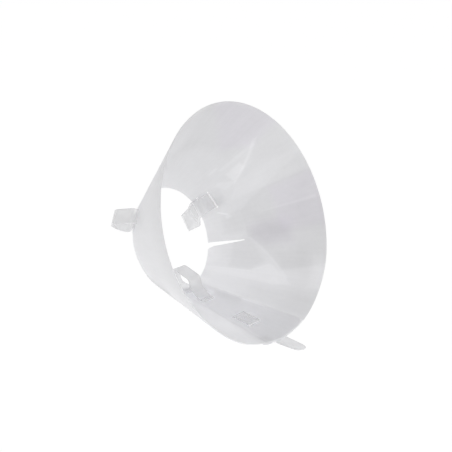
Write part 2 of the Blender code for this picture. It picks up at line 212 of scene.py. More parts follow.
# Over which heights and places a strap comes to lie on the sheet, and to its worn tail
PRESSED_HEIGHTS, PRESSED_FROM = (0.002, 0.006), (0.004, 0.008)
TAIL_EASE = 0.004

# The stage: how strongly the camera sees the floor's shadows, and the lamps' size and places
FLOOR_SHADE = 0.12
LAMP_SIZE = 0.9
KEY_PLACE, FILL_PLACE = (-0.5, -0.7, 0.9), (1.0, -0.1, 0.5)
WHITE = (1.0, 1.0, 1.0, 1.0)
NODE_SPACING = 40


def number(name, description, default, **kind):
    return bpy.props.FloatProperty(name=name, description=description, default=default, **kind)


def length(name, description, default):
    return number(name, description, default, unit="LENGTH", precision=5, min=0.0)


def turn(name, description, degrees):
    return number(name, description, math.radians(degrees), subtype="ANGLE", unit="ROTATION")


def share(name, description, default):
    return number(name, description, default, subtype="FACTOR", min=0.0, max=1.0)


def count(name, description, default):
    return bpy.props.IntProperty(name=name, description=description, default=default, min=1)


def colour(name, description, default):
    return bpy.props.FloatVectorProperty(
        name=name, description=description, default=default, size=3, subtype="COLOR", min=0.0, max=1.0
    )


class ConeSizes(bpy.types.PropertyGroup):
    """The sheet's sizes, which the cone's shape follows."""

    mouth_diameter: length("Mouth diameter", "To the sheet's middle", 0.23)
    neck_diameter: length("Neck diameter", "To the sheet's middle", 0.1066)
    cone_height: length("Height", "Along the axis, from neck to mouth", 0.1097)
    sheet_thickness: length("Sheet", "The sheet's thickness", 0.0008)
    clearance: length("Clearance", "Between layers and straps", 0.0003)
    corner_radius: length("Corner radius", "Of the blank's four corners", 0.007)
    seam_start: turn("Seam start", "From the closing strap to the outer layer", -11.5)
    seam_overlap: turn("Overlap", "How far the sheet laps over itself", 31.0)
    seam_ease: turn("Seam ease", "Over which a layer settles back", 60.0)
    corner_spring: length("Corner spring", "How far the free corner stands off", 0.0025)
    corner_spring_turn: turn("Spring width", "How much of the rim springs off", 5.5)
    flat_depth: length("Flattening", "Of the mouth, over its double layer", 0.0022)
    flat_rise: turn("Flat from", "Where the flattening starts", -32.5)
    flat_full: turn("Flat full from", "Where the flattening is full", -7.5)
    flat_fall: turn("Flat full to", "Where the flattening fades", 32.5)
    flat_end: turn("Flat to", "Where the flattening ends", 62.5)
    pull_depth: length("Pull", "How far the neck edge is drawn in", 0.0019)
    pull_rise: turn("Pull from", "Where the pull starts", 182.5)
    pull_full: turn("Pull full from", "Where the pull is full", 217.5)
    pull_fall: turn("Pull full to", "Where the pull fades", 282.5)
    pull_end: turn("Pull to", "Where the pull ends", 322.5)
    dent_depth: length("Dent", "How far the sheet is pressed in", 0.0015)


class OpeningSizes(bpy.types.PropertyGroup):
    """The relief slit and the straps' slots."""

    slit_turn: turn("Slit place", "From the closing strap to its far side", 73.1)
    slit_length: length("Slit length", "From the neck edge", 0.04)
    slit_width: length("Slit width", "Near the neck edge", 0.005)
    slit_tip_width: length("Slit tip width", "At the slit's blind end", 0.001)
    slit_mouth_width: length("Slit mouth width", "At the neck edge, flared", 0.0072)
    slit_flare: length("Slit flare", "How far up the flare reaches", 0.008)
    slit_overrun: length("Slit overrun", "How far the cut starts before the edge", 0.002)
    slot_width: length("Slot width", "Of each slot", 0.002)
    slot_end_width: length("Slot end width", "Of a slot's blunt ends", 0.0008)
    slot_end_clearance: length("Slot end clearance", "From a strap's edge to the slot's end", 0.0015)
    anchor_slot: length("Anchor slot", "From the neck edge to a first slot", 0.0065)


class StrapSizes(bpy.types.PropertyGroup):
    """The straps' sizes and places."""

    thickness: length("Thickness", "Of each strap", 0.0009)
    tip_radius: length("Tip radius", "Of each rounded end", 0.0075)
    bend_radius: length("Bend radius", "Where a strap passes its slot", 0.001)
    head_overhang: length("Head overhang", "How far a head laps its slot's ends", 0.002)
    head_length: length("Head length", "Of the wide head at a strap's root", 0.005)
    head_corner: length("Head corner", "The corners' radius", 0.0015)
    head_neck: length("Head neck", "From the anchor slot to the head", 0.003)
    tuck_length: length("Tuck", "Of a loop's end, past its slot", 0.012)
    closing_width: length("Closing strap", "Its width", 0.017)
    closing_first: length("First slot", "From the neck edge", 0.0315)
    closing_middle: length("Middle slot", "From the neck edge", 0.0704)
    closing_last: length("Last slot", "From the neck edge", 0.0913)
    closing_tail: length("Tail", "Its length past the rim", 0.0255)
    tail_bend: length("Tail bend", "Where the curl starts, past the rim", 0.002)
    tail_bend_radius: length("Tail bend radius", "Of the tail's curl", 0.02)
    tail_curl_low: length("Tail curl", "At the tip, on the edge by the slit", 0.0004)
    tail_curl_high: length("Tail curl, far edge", "At the tip, on the other edge", 0.0026)
    upper_turn: turn("Upper loop", "From the closing strap to this loop", 116.0)
    upper_width: length("Upper width", "Of the upper loop", 0.0178)
    upper_slot: length("Upper slot", "Where the loop's end goes in", 0.0201)
    side_turn: turn("Side loop", "From the closing strap to this loop", 239.1)
    side_width: length("Side width", "Of the side loop", 0.015)
    side_slot: length("Side slot", "Where the loop's end goes in", 0.0207)
    side_approach: length("Side approach", "How steeply it meets its slot", 0.0045)


class Finish(bpy.types.PropertyGroup):
    """Colours and surface of the two plastics."""

    sheet_colour: colour("Sheet", "Of the frosted sheet", (0.9, 0.9, 0.908))
    strap_colour: colour("Straps", "Of the straps", (0.93, 0.93, 0.937))
    sheet_roughness: share("Sheet roughness", "How matt the frosting is", 0.42)
    strap_roughness: share("Strap roughness", "How matt the straps are", 0.22)
    sheet_glow: share("Sheet glow", "The share of light that soaks into it", 0.5)
    strap_glow: share("Strap glow", "The share of light that soaks into one", 0.3)
    strap_clear: share("Strap clarity", "The share of light straight through a loop", 0.36)
    folded_clear: share("Folded clarity", "The same, through the upper loop", 0.55)
    pressed_clear: share("Pressed clarity", "The same, where a strap lies flat", 0.72)
    tail_clear: share("Tail clarity", "The same, through the worn tail", 0.15)


class StageSettings(bpy.types.PropertyGroup):
    """The floor, lights and camera."""

    floor_size: length("Floor", "The floor's side", 12.0)
    floor_gap: length("Floor gap", "From the floor to the collar", 0.0002)
    floor_colour: colour("Floor colour", "The pale floor", (0.85, 0.85, 0.85))
    floor_light: number("Floor brightness", "How bright the floor looks without lamps", 0.93)
    floor_glow: number("Floor glow", "How bright it is for the collar", 0.62)
    bounces: count("Bounces", "How often light is passed on", 12)
    sky_light: number("Sky light", "Of the even light all round", 0.6)
    key_power: number("Key power", "In watts, of the main lamp", 0.7)
    fill_power: number("Fill power", "In watts, of the other lamp", 2.2)
    camera_azimuth: turn("Azimuth", "Of the view, about +Z from -Y", 38.42)
    camera_elevation: turn("Elevation", "Of the view, above the floor", 22.01)
    camera_roll: turn("Roll", "Of the picture, clockwise", 7.15)
    camera_distance: length("Distance", "To the cone's middle", 0.8595)
    camera_lens: number("Lens", "In millimetres, on a 36 mm sensor", 70.16)
    camera_shift_x: number("Shift X", "Of the lens, in picture widths", 0.0362)
    camera_shift_y: number("Shift Y", "Of the lens, in picture widths", 0.0112)


PROPERTY_GROUPS = {
    "collar_cone": ConeSizes,
    "collar_openings": OpeningSizes,
    "collar_straps": StrapSizes,
    "collar_finish": Finish,
    "collar_stage": StageSettings,
}


class Field:
    """A number that nodes work out, written as plain arithmetic."""

    def __init__(self, socket):
        self.socket = socket
        self.tree = socket.id_data

    def math(self, operation, *values):
        node = add_node(self.tree, "ShaderNodeMath", enumerate(values), operation=operation)
        return Field(node.outputs[0])

    def __add__(self, other):
        return self.math("ADD", self, other)

    def __sub__(self, other):
        return self.math("SUBTRACT", self, other)

    def __rsub__(self, other):
        return self.math("SUBTRACT", other, self)

    def __mul__(self, other):
        return self.math("MULTIPLY", self, other)

    def __truediv__(self, other):
        return self.math("DIVIDE", self, other)

    __radd__ = __add__
    __rmul__ = __mul__


def feed(node, inputs):
    """Gives a node's inputs, by name or number, their values: numbers, fields or outputs of nodes."""
    for name, value in inputs.items():
        value = value.socket if isinstance(value, Field) else value
        if isinstance(value, bpy.types.NodeSocket):
            node.id_data.links.new(value, node.inputs[name])
        else:
            node.inputs[name].default_value = value


def add_node(tree, kind, inputs=(), **settings):
    """A new node with its settings made and its inputs fed."""
    node = tree.nodes.new(kind)
    node.location.x = NODE_SPACING * len(tree.nodes)
    for name, value in settings.items():
        setattr(node, name, value)
    feed(node, dict(inputs))
    return node


def worked_out(operation, in_numbers):
    """A function of numbers, which a node does instead where nodes work out one of them."""

    def work_out(*values):
        field = next((value for value in values if isinstance(value, Field)), None)
        return field.math(operation, *values) if field else in_numbers(*values)

    return work_out


sine, cosine = worked_out("SINE", math.sin), worked_out("COSINE", math.cos)
root = worked_out("SQRT", math.sqrt)
least, most = worked_out("MINIMUM", min), worked_out("MAXIMUM", max)


def split(vector):
    """The x, y and z of a vector socket."""
    node = add_node(vector.id_data, "ShaderNodeSeparateXYZ", {0: vector})
    return [Field(output) for output in node.outputs]


def joined(tree, numbers):
    """A vector socket from three numbers."""
    return add_node(tree, "ShaderNodeCombineXYZ", enumerate(numbers)).outputs[0]


def ease(start, end, value):
    """0 before start, 1 after end, with a smooth rise between them."""
    part = least(most((value - start) / (end - start), 0.0), 1.0)
    return part * part * (3 - 2 * part)


def wrapped(angle, lowest):
    """The same direction as an angle, from lowest to a full turn above it."""
    if isinstance(angle, Field):
        return angle.math("WRAP", angle, lowest + FULL_TURN, lowest)
    return (angle - lowest) % FULL_TURN + lowest


def corner_inset(distance, radius):
    """How far a rounded corner holds an edge back, at a distance from the corner's side."""
    left = most(radius - distance, 0.0)
    return radius - root(radius * radius - left * left)


class Cone:
    """The sheet's shape, from numbers or from the inputs of a node tree."""

    def __init__(self, sizes):
        self.sizes = sizes
        self.neck_radius = sizes["neck_diameter"] / 2
        self.mouth_radius = sizes["mouth_diameter"] / 2
        self.pitch = sizes["sheet_thickness"] + sizes["clearance"]
        self.span = sizes["seam_overlap"] + FULL_TURN

    def pressed(self, kind, angle):
        """How far the flattening or the pull moves the sheet's edge at an angle."""
        names = ("rise", "full", "fall", "end", "depth")
        rise, full, fall, end, depth = (self.sizes[f"{kind}_{name}"] for name in names)
        return depth * (ease(rise, full, angle) * (1 - ease(fall, end, angle)))

    def radii(self, angle):
        """The neck's and the mouth's radius at an angle, with the flattening and the pull in them."""
        neck = self.neck_radius - self.pressed("pull", wrapped(angle, 0.0))
        mouth = self.mouth_radius - self.pressed("flat", wrapped(angle, -math.pi))
        return neck, mouth

    def profile(self, angle):
        """The neck's radius at an angle, and how far the sheet goes out, up and along to the rim."""
        neck, mouth = self.radii(angle)
        spread, height = mouth - neck, self.sizes["cone_height"]
        return neck, spread, height, root(spread * spread + height * height)

    def depth(self, angle):
        """The sheet's length from the neck edge to the mouth's rim."""
        return self.profile(angle)[-1]

    def place(self, angle, s, n):
        """The x, y and z of a point near the sheet."""
        neck, spread, height, slant = self.profile(angle)
        radius = neck + (s * spread - n * height) / slant
        return radius * cosine(angle), radius * sine(angle), (s * height + n * spread) / slant

    def layer_offset(self, angle, part):
        """How far the sheet's middle lies inside the mean cone; part runs from 0 at the neck to 1."""
        sizes = self.sizes
        start = sizes["seam_start"]
        lap_end = start + sizes["seam_overlap"]
        last_lap = start + FULL_TURN
        outer = 1 - ease(lap_end, lap_end + sizes["seam_ease"], angle)
        inner = ease(last_lap - sizes["seam_ease"], last_lap, angle)
        free = 1 - ease(start, start + sizes["corner_spring_turn"], angle)
        spring = sizes["corner_spring"] * free * ease(SPRING_FROM, 1.0, part)
        return (inner - outer) * self.pitch / 2 - spring

    def half_slope(self):
        return math.atan2(self.mouth_radius - self.neck_radius, self.sizes["cone_height"])

    def pose(self):
        """Where the frame has the cone: turned until its closing strap is level, fitted to the sheet."""
        _, spread, height, _ = self.profile(0.0)
        turned = Euler((0.0, QUARTER_TURN - math.atan2(spread, height), 0.0)).to_matrix()
        half = self.sizes["sheet_thickness"] / 2
        points = []
        for step in range(POSE_COLUMNS + 1):
            angle = self.sizes["seam_start"] + self.span * step / POSE_COLUMNS
            for s, part in ((0.0, 0.0), (self.depth(angle), 1.0)):
                middle = self.layer_offset(angle, part)
                points += [turned @ Vector(self.place(angle, s, middle + n)) for n in (-half, half)]
        own = [(min(p[i] for p in points) + max(p[i] for p in points)) / 2 for i in range(3)]
        low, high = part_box(SHEET_NODE)
        shift = (low + high) / 2 - Vector(own)
        return Matrix.Translation(shift) @ turned.to_4x4()


def cone_of(context):
    group = context.scene.collar_cone
    return Cone({name: getattr(group, name) for name in ConeSizes.__annotations__})


def new_object(name, mesh):
    item = bpy.data.objects.new(name, mesh)
    bpy.context.scene.collection.objects.link(item)
    return item


def mapped_grid(name, across, up, place):
    """A grid of across by up cells, with each corner put where place(column, row) says."""
    form = bmesh.new()
    bmesh.ops.create_grid(form, x_segments=across, y_segments=up, size=1.0, calc_uvs=True)
    layer = form.loops.layers.uv.verify()
    for face in form.faces:
        for loop in face.loops:
            loop[layer].uv = ((loop.vert.co.x + 1) / 2, (loop.vert.co.y + 1) / 2)
    for vertex in form.verts:
        column = round((vertex.co.x + 1) / 2 * across)
        row = round((vertex.co.y + 1) / 2 * up)
        vertex.co = place(column, row)
    mesh = bpy.data.meshes.new(name)
    form.to_mesh(mesh)
    form.free()
    mesh.uv_layers[0].name = SURFACE_MAP
    return new_object(name, mesh)


def thicken(item, thickness):
    shell = item.modifiers.new("thickness", "SOLIDIFY")
    shell.thickness = thickness
    shell.offset = 0.0
    shell.use_even_offset = True


def soften_edges(item, width):
    edge = item.modifiers.new("edges", "BEVEL")
    edge.width = width
    edge.segments = EDGE_SEGMENTS
    edge.limit_method = "ANGLE"
    edge.angle_limit = EDGE_ANGLE


def finished(item):
    """Turns what the modifiers make into the object's own mesh, without slivers, and drops them."""
    graph = bpy.context.evaluated_depsgraph_get()
    mesh = bpy.data.meshes.new_from_object(item.evaluated_get(graph), depsgraph=graph)
    item.modifiers.clear()
    form = bmesh.new()
    form.from_mesh(mesh)
    bmesh.ops.remove_doubles(form, verts=form.verts, dist=SLIVER)
    bmesh.ops.dissolve_degenerate(form, dist=SLIVER, edges=form.edges)
    between_two = [vertex for vertex in form.verts if len(vertex.link_edges) == 2]
    bmesh.ops.dissolve_verts(form, verts=between_two)
    form.to_mesh(mesh)
    form.free()
    item.data = mesh
    return item


def dress(item, material, node):
    """Smooths a finished piece, gives it its material and lets it stand for its CAD node."""
    item.data.shade_smooth()
    item.data.set_sharp_from_angle(angle=SMOOTH_ANGLE)
    item.data.materials.clear()
    item.data.materials.append(material)
    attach(item, BODY)
    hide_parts(node)


# The sheet


def sheet_tree():
    """A node tree that rolls a grid into the lapped cone, with an input for each of the cone's sizes."""
    tree = bpy.data.node_groups.new("rolled_sheet", "GeometryNodeTree")
    tree.interface.new_socket("Geometry", in_out="OUTPUT", socket_type="NodeSocketGeometry")
    counts = ("columns", "corner_columns", "rows")
    sizes = dict.fromkeys(ConeSizes.__annotations__, "Float")
    for name, kind in {**dict.fromkeys(counts, "Int"), **sizes, "material": "Material"}.items():
        tree.interface.new_socket(name, in_out="INPUT", socket_type=f"NodeSocket{kind}")
    given = tree.nodes.new("NodeGroupInput")
    inputs = {socket.name: Field(socket) for socket in given.outputs if socket.name}
    cone = Cone(inputs)
    columns, corner_columns, rows = (inputs[name] for name in counts)

    cells = {"Size X": columns, "Size Y": rows, "Vertices X": columns + 1, "Vertices Y": rows + 1}
    grid = add_node(tree, "GeometryNodeMeshGrid", cells)
    across, up, _ = split(add_node(tree, "GeometryNodeInputPosition").outputs[0])
    column = across + columns / 2
    part = up / rows + 0.5

    corner = inputs["corner_radius"] / cone.neck_radius
    middle = cone.span - corner * 2
    into_head = least(column / corner_columns, 1.0)
    into_middle = (column - corner_columns) / (columns - corner_columns * 2)
    into_tail = most((column - columns) / corner_columns + 1, 0.0)
    angle = inputs["seam_start"] + corner * (1 - cosine(into_head * QUARTER_TURN))
    angle = angle + middle * least(most(into_middle, 0.0), 1.0)
    angle = angle + corner * sine(into_tail * QUARTER_TURN)

    past_start = angle - inputs["seam_start"]
    to_edge = most(least(past_start, cone.span - past_start), 0.0)
    low = corner_inset(to_edge * cone.neck_radius, inputs["corner_radius"])
    high = cone.depth(angle) - corner_inset(to_edge * cone.mouth_radius, inputs["corner_radius"])
    s = low + (high - low) * part
    dent = marked(*mark_place(angle, part), DENT_SOFTNESS, DENT) * inputs["dent_depth"]
    spot = joined(tree, cone.place(angle, s, cone.layer_offset(angle, part) + dent))
    flat_spot = joined(tree, (past_start / cone.span, s / cone.depth(angle), 0.0))

    mapped = add_node(tree, "GeometryNodeStoreNamedAttribute", data_type="FLOAT2", domain="CORNER")
    feed(mapped, {"Name": SURFACE_MAP, "Value": flat_spot})
    rolled = add_node(tree, "GeometryNodeSetPosition", {"Position": spot})
    real = add_node(tree, "GeometryNodeRealizeInstances")
    painted = add_node(tree, "GeometryNodeSetMaterial", {"Material": inputs["material"]})
    steps = (grid, mapped, rolled, real, painted, add_node(tree, "NodeGroupOutput"))
    for step, following in zip(steps, steps[1:]):
        tree.links.new(step.outputs[0], following.inputs[0])
    return tree


def rolled_sheet(context, name, material):
    """The sheet as the node tree rolls it, still without thickness."""
    item = new_object(name, bpy.data.meshes.new(name))
    shape = item.modifiers.new("shape", "NODES")
    shape.node_group = sheet_tree()
    values = {"columns": SHEET_COLUMNS, "corner_columns": CORNER_COLUMNS, "rows": SHEET_ROWS}
    values.update(cone_of(context).sizes, material=material)
    for socket in shape.node_group.interface.items_tree:
        if socket.in_out == "INPUT":
            shape[socket.identifier] = values[socket.name]
    return finished(item)


def cutter(name, across, up, place):
    """A plate that is thick enough to cut through the sheet."""
    plate = mapped_grid(name, across, up, place)
    thicken(plate, CUT_DEPTH)
    return finished(plate)


def slot_cutter(cone, openings, angle, s, width):
    """A slot for a strap, with blunt rounded ends and straight on the flat blank."""
    slope = cone.half_slope()
    from_apex = cone.neck_radius / math.sin(slope) + s
    span = width + 2 * openings.slot_end_clearance
    half_width = openings.slot_width / 2

    def place(column, row):
        along = (column / SLOT_COLUMNS * 2 - 1) * span / 2
        past_end = max(abs(along) - span / 2 + half_width, 0.0)
        half = math.sqrt(max(half_width**2 - past_end**2, (openings.slot_end_width / 2) ** 2))
        flat_turn = math.atan2(along, from_apex)
        bow = from_apex / math.cos(flat_turn) - from_apex
        return cone.place(angle + flat_turn / math.sin(slope), s + bow + (row - 1) * half, 0.0)

    return cutter("slot_cutter", SLOT_COLUMNS, 2, place)


def slit_cutter(cone, openings):
    """A slit down from the neck edge that tapers to its tip, flared to one side at the edge."""
    reach = openings.slit_length + openings.slit_overrun

    def place(column, row):
        s = openings.slit_length - reach * row / SLIT_ROWS
        flare = max(1 - max(s, 0.0) / openings.slit_flare, 0.0) ** 2
        width = openings.slit_tip_width
        width += (openings.slit_width - openings.slit_tip_width) * (1 - s / openings.slit_length)
        width += (openings.slit_mouth_width - openings.slit_width) * flare
        radius = cone.neck_radius + s * math.sin(cone.half_slope())
        return cone.place(openings.slit_turn - width * (1 - column) / radius, s, 0.0)

    return cutter("slit_cutter", 1, SLIT_ROWS, place)


def slot_places(context):
    """The angle, width and places of each strap's slots."""
    straps = context.scene.collar_straps
    first = context.scene.collar_openings.anchor_slot
    closing = (first, straps.closing_first, straps.closing_middle, straps.closing_last)
    return (
        (0.0, straps.closing_width, closing),
        (straps.upper_turn, straps.upper_width, (first, straps.upper_slot)),
        (straps.side_turn, straps.side_width, (first, straps.side_slot)),
    )


def make_sheet(context):
    cone = cone_of(context)
    openings = context.scene.collar_openings
    material = frosted_plastic(context)
    sheet = rolled_sheet(context, "frosted_sheet", material)
    cutters = [
        slot_cutter(cone, openings, angle, s, width)
        for angle, width, places in slot_places(context)
        for s in places
    ]
    cutters.append(slit_cutter(cone, openings))
    group = bpy.data.collections.new("cutters")
    for item in cutters:
        group.objects.link(item)
    thicken(sheet, context.scene.collar_cone.sheet_thickness)
    soften_edges(sheet, SHEET_EDGE)
    cut = sheet.modifiers.new("slots", "BOOLEAN")
    cut.operand_type = "COLLECTION"
    cut.collection = group
    finished(sheet)
    for item in cutters:
        bpy.data.objects.remove(item)
    bpy.data.collections.remove(group)
    sheet.data.transform(cone.pose())
    dress(sheet, material, SHEET_NODE)


# The straps


def rounded_line(corners):
    """Points of a line through (s, n, radius) corners, each inner one turned into an arc."""
    places = [Vector(corner[:2]) for corner in corners]
    points = [places[0]]
    for before, here, after, corner in zip(places, places[1:], places[2:], corners[1:]):
        back = (before - here).normalized()
        on = (after - here).normalized()
        half_turn = (math.pi - back.angle(on)) / 2
        reach = corner[2] * math.tan(half_turn)
        reach = min(reach, *(MOST_OF_A_RUN * (end - here).length for end in (before, after)))
        radius = reach / math.tan(half_turn)
        centre = here + (back + on).normalized() * (radius / math.cos(half_turn))
        first = here + back * reach - centre
        last = here + on * reach - centre
        for step in range(BEND_SEGMENTS + 1):
            part = step / BEND_SEGMENTS
            angle = 2 * half_turn
            weights = math.sin((1 - part) * angle), math.sin(part * angle)
            points.append(centre + (first * weights[0] + last * weights[1]) / math.sin(angle))
    points.append(places[-1])
    return points


class Strap:
    """A flat strip with a wide head at its root and a rounded tip, along two edge lines."""

    def __init__(self, context, angle, width, layers):
        self.cone = cone_of(context)
        self.sizes = context.scene.collar_straps
        self.openings = context.scene.collar_openings
        self.finish = context.scene.collar_finish
        self.angle = angle
        self.width = width
        self.layers = layers

    def lying_on(self, side, s, width=None):
        """The height n of the strap's middle where it lies on one face of the sheet.

        Inside the cone its two edges touch the hollow face, so its middle stands off a little more.
        """
        cone, sizes = self.cone, self.cone.sizes
        height = sizes["sheet_thickness"] / 2 + (self.layers - 1) * cone.pitch / 2
        height += sizes["clearance"] + self.sizes.thickness / 2
        if side == INSIDE:
            slope = cone.half_slope()
            radius = (cone.neck_radius + s * math.sin(slope)) / math.cos(slope)
            height += radius - math.sqrt(radius**2 - ((width or self.width) / 2) ** 2)
        return side * height

    def head_width(self):
        return self.width + 2 * (self.openings.slot_end_clearance + self.sizes.head_overhang)

    def anchor(self, side):
        """The wide head on the far face and the bends through the anchor slot, to the loop's face."""
        slot, bend = self.openings.anchor_slot, self.sizes.bend_radius
        head_end = slot + self.sizes.head_neck + self.sizes.head_length
        far = self.lying_on(-side, slot, self.head_width())
        near = self.lying_on(side, 0.0)
        return [(head_end, far, 0.0), (slot, far, bend), (slot, near, bend)]

    def crossing(self, s, side):
        """The two bends that take the strap from one face, through a slot, to the other."""
        return [(s, self.lying_on(face, s), self.sizes.bend_radius) for face in (side, -side)]

    def loop(self, corners):
        side = INSIDE if corners[1][1] > 0 else OUTSIDE
        on_sheet = self.lying_on(side, 0.0)
        return [(s, on_sheet if n is None else n, radius) for s, n, radius in corners]

    def half_width(self, from_head, from_tip):
        if from_head < self.sizes.head_length:
            return self.head_width() / 2 - corner_inset(from_head, self.sizes.head_corner)
        return self.width / 2 - corner_inset(from_tip, self.sizes.tip_radius)

    def rows(self, low, high):
        """The two edge lines as (reach, low, high) rows, close together at both ends."""
        middle = [(a + b) / 2 for a, b in zip(low, high)]
        reach = [0.0]
        for before, here in zip(middle, middle[1:]):
            reach.append(reach[-1] + (here - before).length)
        wanted = set(reach)
        for start, end in zip(reach, reach[1:]):
            extra = int((end - start) / ROW_SPACING)
            wanted.update(start + (end - start) * i / (extra + 1) for i in range(1, extra + 1))
        turns = (QUARTER_TURN * step / TIP_SEGMENTS for step in range(TIP_SEGMENTS + 1))
        shares = [1 - math.cos(angle) for angle in turns]
        wanted.update(self.sizes.head_corner * part for part in shares)
        wanted.update(reach[-1] - self.sizes.tip_radius * part for part in shares)
        wanted.update(self.sizes.head_length - step for step in (0.0, HEAD_STEP))
        rows = []
        for place in sorted(wanted):
            if rows and place - rows[-1][0] < SMALLEST_STEP:
                continue
            index = max(i for i in range(len(reach) - 1) if reach[i] <= place + SAME_PLACE)
            part = (place - reach[index]) / (reach[index + 1] - reach[index])
            edges = [line[index].lerp(line[index + 1], part) for line in (low, high)]
            rows.append((place, *edges))
        return rows, reach[-1]

    def sharpness(self, rows, step):
        """From 0 where the strap lies flat to 1 where it is bent most sharply, at one of its rows."""
        if not 0 < step < len(rows) - 1:
            return 0.0
        before, here, after = ((low + high) / 2 for _, low, high in rows[step - 1 : step + 2])
        turned = (here - before).angle(after - here)
        run = ((here - before).length + (after - here).length) / 2
        return ease(1 / self.sizes.tail_bend_radius, 1 / self.sizes.bend_radius, turned / run)

    def clearness(self, s, n, loop_clear):
        """The share of light that passes straight through the strap at a place beside the sheet."""
        finish = self.finish
        lying = (1 - ease(*PRESSED_HEIGHTS, abs(n))) * ease(*PRESSED_FROM, s)
        clear = loop_clear + (finish.pressed_clear - loop_clear) * lying
        rim = self.cone.depth(self.angle)
        return clear + (finish.tail_clear - clear) * ease(rim - TAIL_EASE, rim, s)

    def make(self, name, lines, clear):
        """The finished strap along the corners of its two edge lines."""
        rows, whole = self.rows(*(rounded_line(corners) for corners in lines))
        tangent = Vector((-math.sin(self.angle), math.cos(self.angle), 0.0))

        def place(row, column):
            reach, low_edge, high_edge = rows[row]
            across = 1 - 2 * column / STRAP_COLUMNS
            aside = across * self.half_width(reach, whole - reach)
            s, n = low_edge.lerp(high_edge, 0.5 - aside / self.width)
            return Vector(self.cone.place(self.angle, s, n)) + tangent * aside

        strip = mapped_grid(name, len(rows) - 1, STRAP_COLUMNS, place)
        folds = [self.sharpness(rows, step) for step in range(len(rows))]
        clears = [self.clearness(*low.lerp(high, 0.5), clear) for _, low, high in rows]
        for attribute, values in ((FOLD, folds), (CLEAR, clears)):
            layer = strip.data.attributes.new(attribute, "FLOAT", "POINT")
            for index, entry in enumerate(layer.data):
                entry.value = values[index % len(rows)]
        thicken(strip, self.sizes.thickness)
        soften_edges(strip, STRAP_EDGE)
        finished(strip)
        strip.data.transform(self.cone.pose())
        return strip


def make_closing_strap(context):
    sizes = context.scene.collar_straps
    strap = Strap(context, 0.0, sizes.closing_width, layers=2)
    rim = strap.cone.depth(0.0)
    on_outside = strap.lying_on(OUTSIDE, rim)
    line = strap.anchor(INSIDE) + strap.loop(CLOSING_LOOP)
    line += strap.crossing(sizes.closing_first, INSIDE)
    line += strap.crossing(sizes.closing_middle, OUTSIDE)
    line += strap.crossing(sizes.closing_last, INSIDE)
    line.append((rim + sizes.tail_bend, on_outside, sizes.tail_bend_radius))
    curls = (sizes.tail_curl_low, sizes.tail_curl_high)
    lines = [line + [(rim + sizes.closing_tail, on_outside + curl, 0.0)] for curl in curls]
    item = strap.make("lap_strap", lines, strap.finish.strap_clear)
    dress(item, clear_plastic(context), "closing_strap")


def make_upper_loop(context):
    sizes = context.scene.collar_straps
    strap = Strap(context, sizes.upper_turn, sizes.upper_width, layers=1)
    tip = sizes.upper_slot + sizes.tuck_length
    end = strap.crossing(sizes.upper_slot, INSIDE) + [(tip, strap.lying_on(OUTSIDE, tip), 0.0)]
    lines = [strap.anchor(INSIDE) + strap.loop(corners) + end for corners in UPPER_LOOP]
    item = strap.make("folded_loop", lines, strap.finish.folded_clear)
    dress(item, clear_plastic(context), "upper_loop_strap")


def make_side_loop(context):
    sizes = context.scene.collar_straps
    strap = Strap(context, sizes.side_turn, sizes.side_width, layers=1)
    inner = strap.lying_on(INSIDE, sizes.side_slot)
    end = [
        (sizes.side_slot, -inner - sizes.side_approach, sizes.side_approach),
        (sizes.side_slot, inner, sizes.bend_radius),
        (sizes.side_slot + sizes.tuck_length, inner, 0.0),
    ]
    lines = [strap.anchor(OUTSIDE) + strap.loop(corners) + end for corners in SIDE_LOOP]
    item = strap.make("open_loop", lines, strap.finish.strap_clear)
    dress(item, clear_plastic(context), "side_loop_strap")


# The plastics


def blank_material(name):
    material = bpy.data.materials.new(name)
    material.use_nodes = True
    nodes = material.node_tree.nodes
    return material, material.node_tree, nodes["Principled BSDF"], nodes["Material Output"]


def mixed(tree, share_of_second, first, second):
    """The output of a shader mixed from two others."""
    return add_node(tree, "ShaderNodeMixShader", {0: share_of_second, 1: first, 2: second}).outputs[0]


def soaked_through(tree, surface, tint, glow):
    """What a plastic's surface shows, mixed with the light that soaks through it."""
    soaked = add_node(tree, "ShaderNodeBsdfTranslucent", {"Color": tint})
    return mixed(tree, glow, surface.outputs[0], soaked.outputs[0])


def tinted(tree, base, tone, violet=0.0):
    """A plastic's colour times a tone, turned violet by a share."""
    green, blue = violet * -VIOLET_LESS_GREEN + 1, violet * VIOLET_MORE_BLUE + 1
    return joined(tree, (tone * base[0], tone * green * base[1], tone * blue * base[2]))


def surface_place(tree):
    """Where a point is on its piece's own map, along and across it."""
    return split(add_node(tree, "ShaderNodeUVMap", uv_map=SURFACE_MAP).outputs[0])[:2]


def painted(tree, attribute):
    """An attribute of the mesh."""
    return Field(add_node(tree, "ShaderNodeAttribute", attribute_name=attribute).outputs["Fac"])


def noise(tree, scale, detail=2.0, place=None):
    """Noise from 0 to 1, over the piece itself or over the given coordinates."""
    place = place or add_node(tree, "ShaderNodeTexCoord").outputs["Object"]
    inputs = {"Vector": place, "Scale": scale, "Detail": detail}
    return Field(add_node(tree, "ShaderNodeTexNoise", inputs).outputs[0])


def marked(x, y, softness, corners):
    """1 inside a convex outline and 0 outside it, with a soft edge."""
    inside = None
    for ends in zip(corners, corners[1:] + corners[:1]):
        (ax, ay), (bx, by) = ((degrees * TURN_SCALE, part) for degrees, part in ends)
        size = math.hypot(bx - ax, by - ay)
        nx, ny = (ay - by) / size, (bx - ax) / size
        from_edge = x.math("MULTIPLY_ADD", x, nx, y.math("MULTIPLY_ADD", y, ny, -(nx * ax + ny * ay)))
        inside = least(inside, from_edge) if inside else from_edge
    inputs = {"Value": inside, "From Min": -softness, "From Max": softness}
    node = add_node(x.tree, "ShaderNodeMapRange", inputs, interpolation_type="SMOOTHSTEP")
    return Field(node.outputs["Result"])


